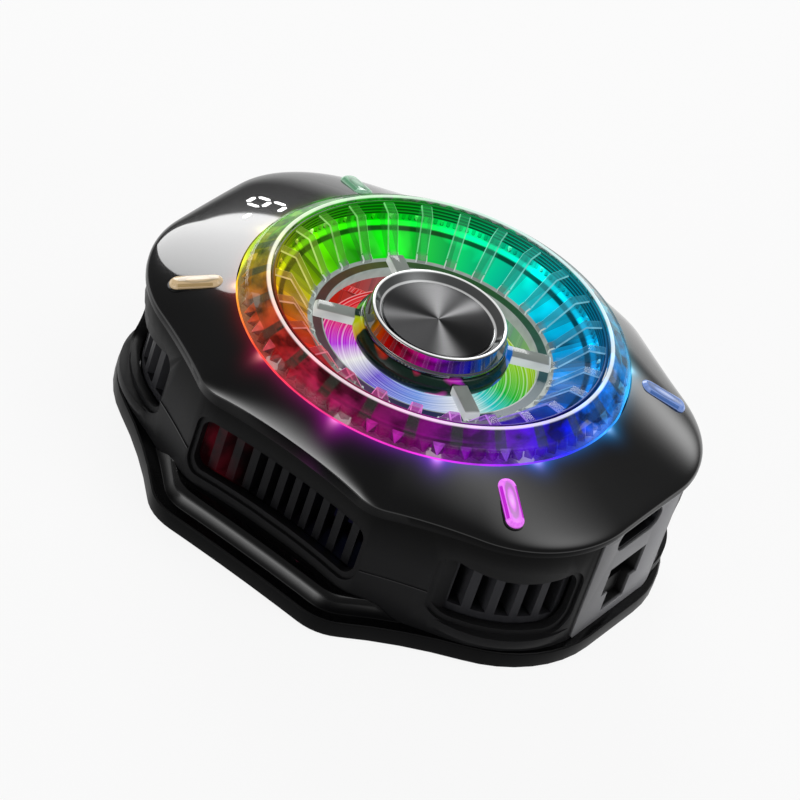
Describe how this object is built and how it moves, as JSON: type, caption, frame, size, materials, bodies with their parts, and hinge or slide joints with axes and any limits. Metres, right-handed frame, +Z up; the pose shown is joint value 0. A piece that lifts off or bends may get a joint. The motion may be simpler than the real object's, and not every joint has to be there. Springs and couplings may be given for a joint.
{
  "type": "phone cooling fan",
  "caption": "Magnetic clip-on phone cooler: lobed gloss-black shell, clear vaned light ring over a fan, finned heatsink and chilled plate beneath, USB-C power socket at one end.",
  "frame": {"origin": "middle of the underside that lies on the phone, under the fan's axis", "axes": "+Z up along the fan's axis, +X along the long side towards the charging socket, +Y to the rear long side"},
  "size_m": [0.069, 0.0614, 0.0262],
  "materials": {
    "base_black": "semi-gloss moulded black",
    "contact_rubber": "soft matt black ring",
    "magnet_nickel": "nickel-plated magnet",
    "cold_aluminium": "fine turned face",
    "ceramic_white": "unglazed alumina",
    "cooler_alloy": "dark semiconductor alloy",
    "pad_grey": "soft thermal pad",
    "foam_black": "closed-cell foam",
    "chip_black": "matt moulded package",
    "fin_dark": "black anodised fins",
    "housing_black": "fine satin moulding",
    "screw_steel": "plain steel",
    "board_green": "circuit board",
    "stator_iron": "stacked sheet steel",
    "coil_copper": "enamelled copper wire",
    "sleeve_brass": "sintered bearing",
    "shaft_steel": "ground steel",
    "magnet_dark": "bonded magnet",
    "fan_clear": "translucent, lit by the ring",
    "port_grey": "satin dark grey",
    "socket_steel": "drawn steel shell",
    "coil_ferrite": "ferrite body",
    "display_black": "black digit module",
    "board_white": "white circuit board",
    "led_white": "diffused light package",
    "ring_clear": "clear, lit in a colour wheel",
    "bowl_clear": "clear, lit in a colour wheel",
    "spider_clear": "clear",
    "hub_chrome": "dark chrome",
    "hub_brushed": "radially brushed",
    "cover_gloss": "piano black",
    "bar_amber": "clear warm bar",
    "bar_magenta": "clear magenta bar",
    "bar_green": "clear green bar",
    "bar_blue": "clear blue bar"
  },
  "bodies": {
    "housing": {"base_tray": "base_black", "contact_ring": "contact_rubber", "magnet_segments": "magnet_nickel", "cold_plate": "cold_aluminium", "cold_ceramic": "ceramic_white", "cooler_legs": "cooler_alloy", "hot_ceramic": "ceramic_white", "thermal_pad": "pad_grey", "insulation_ring": "foam_black", "temp_sensor": "chip_black", "heatsink": "fin_dark", "fan_frame": "housing_black", "fan_screws": "screw_steel", "motor_board": "board_green", "stator_core": "stator_iron", "stator_coils": "coil_copper", "bearing_sleeve": "sleeve_brass", "mid_housing": "housing_black", "port_plate": "port_grey", "usb_shell": "socket_steel", "usb_tongue": "chip_black", "main_board": "board_green", "control_chip": "chip_black", "power_coil": "coil_ferrite", "display_module": "display_black", "led_board": "board_white", "ring_leds": "led_white", "light_ring": "ring_clear", "vaned_bowl": "bowl_clear", "hub_spider": "spider_clear", "hub_cap": "hub_chrome", "hub_face": "hub_brushed", "top_cover": "cover_gloss", "light_bar_front_left": "bar_amber", "light_bar_front_right": "bar_magenta", "light_bar_rear_left": "bar_green", "light_bar_rear_right": "bar_blue"},
    "rotor": {"fan_rotor": "fan_clear", "rotor_magnet": "magnet_dark", "fan_shaft": "shaft_steel"}
  },
  "joints": [
    {"name": "fan_spin", "type": "hinge", "parent": "housing", "child": "rotor", "pos_m": [0, 0, 0.012], "axis": [0, 0, 1], "continuous": true}
  ]
}
